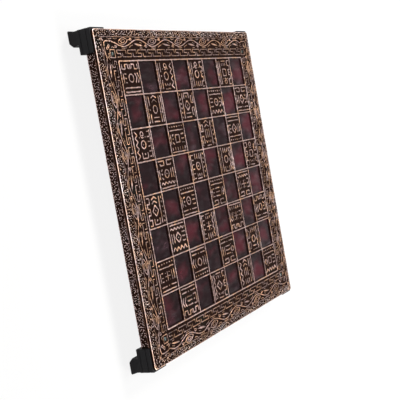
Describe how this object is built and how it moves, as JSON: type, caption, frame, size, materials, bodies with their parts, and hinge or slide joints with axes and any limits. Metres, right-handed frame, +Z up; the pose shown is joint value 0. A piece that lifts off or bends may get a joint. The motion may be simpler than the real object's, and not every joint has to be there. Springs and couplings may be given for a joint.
{
  "type": "chessboard",
  "caption": "Square chessboard with a relief metal playing face, dark red enamel squares, Greek key and vine border, textured edging and black corner feet.",
  "frame": {"origin": "under the middle of the board, level with the soles of the feet", "axes": "+X along the near edge from file a to file h, +Y away from the near player, +Z up"},
  "size_m": [0.2826, 0.2826, 0.0244],
  "materials": {
    "patinated_copper": "cast relief, dark patina in the ground and worn copper on the raised lines",
    "enamel": "glossy, clouded dark red and grey",
    "edging_copper": "dark patina over a rough texture",
    "core_wood": "raw board",
    "felt": "black felt",
    "foot_plastic": "moulded black plastic with a fine grain",
    "screw_steel": "zinc plated"
  },
  "bodies": {
    "root": {"core_board": "core_wood", "corner_foot_back_left": "foot_plastic", "corner_foot_back_right": "foot_plastic", "corner_foot_front_left": "foot_plastic", "corner_foot_front_right": "foot_plastic", "edge_strip_back": "edging_copper", "edge_strip_front": "edging_copper", "edge_strip_left": "edging_copper", "edge_strip_right": "edging_copper", "enamel_a1": "enamel", "enamel_a3": "enamel", "enamel_a5": "enamel", "enamel_a7": "enamel", "enamel_b2": "enamel", "enamel_b4": "enamel", "enamel_b6": "enamel", "enamel_b8": "enamel", "enamel_c1": "enamel", "enamel_c3": "enamel", "enamel_c5": "enamel", "enamel_c7": "enamel", "enamel_d2": "enamel", "enamel_d4": "enamel", "enamel_d6": "enamel", "enamel_d8": "enamel", "enamel_e1": "enamel", "enamel_e3": "enamel", "enamel_e5": "enamel", "enamel_e7": "enamel", "enamel_f2": "enamel", "enamel_f4": "enamel", "enamel_f6": "enamel", "enamel_f8": "enamel", "enamel_g1": "enamel", "enamel_g3": "enamel", "enamel_g5": "enamel", "enamel_g7": "enamel", "enamel_h2": "enamel", "enamel_h4": "enamel", "enamel_h6": "enamel", "enamel_h8": "enamel", "felt_lining": "felt", "foot_screws": "screw_steel", "relief_plate": "patinated_copper"}
  },
  "joints": []
}
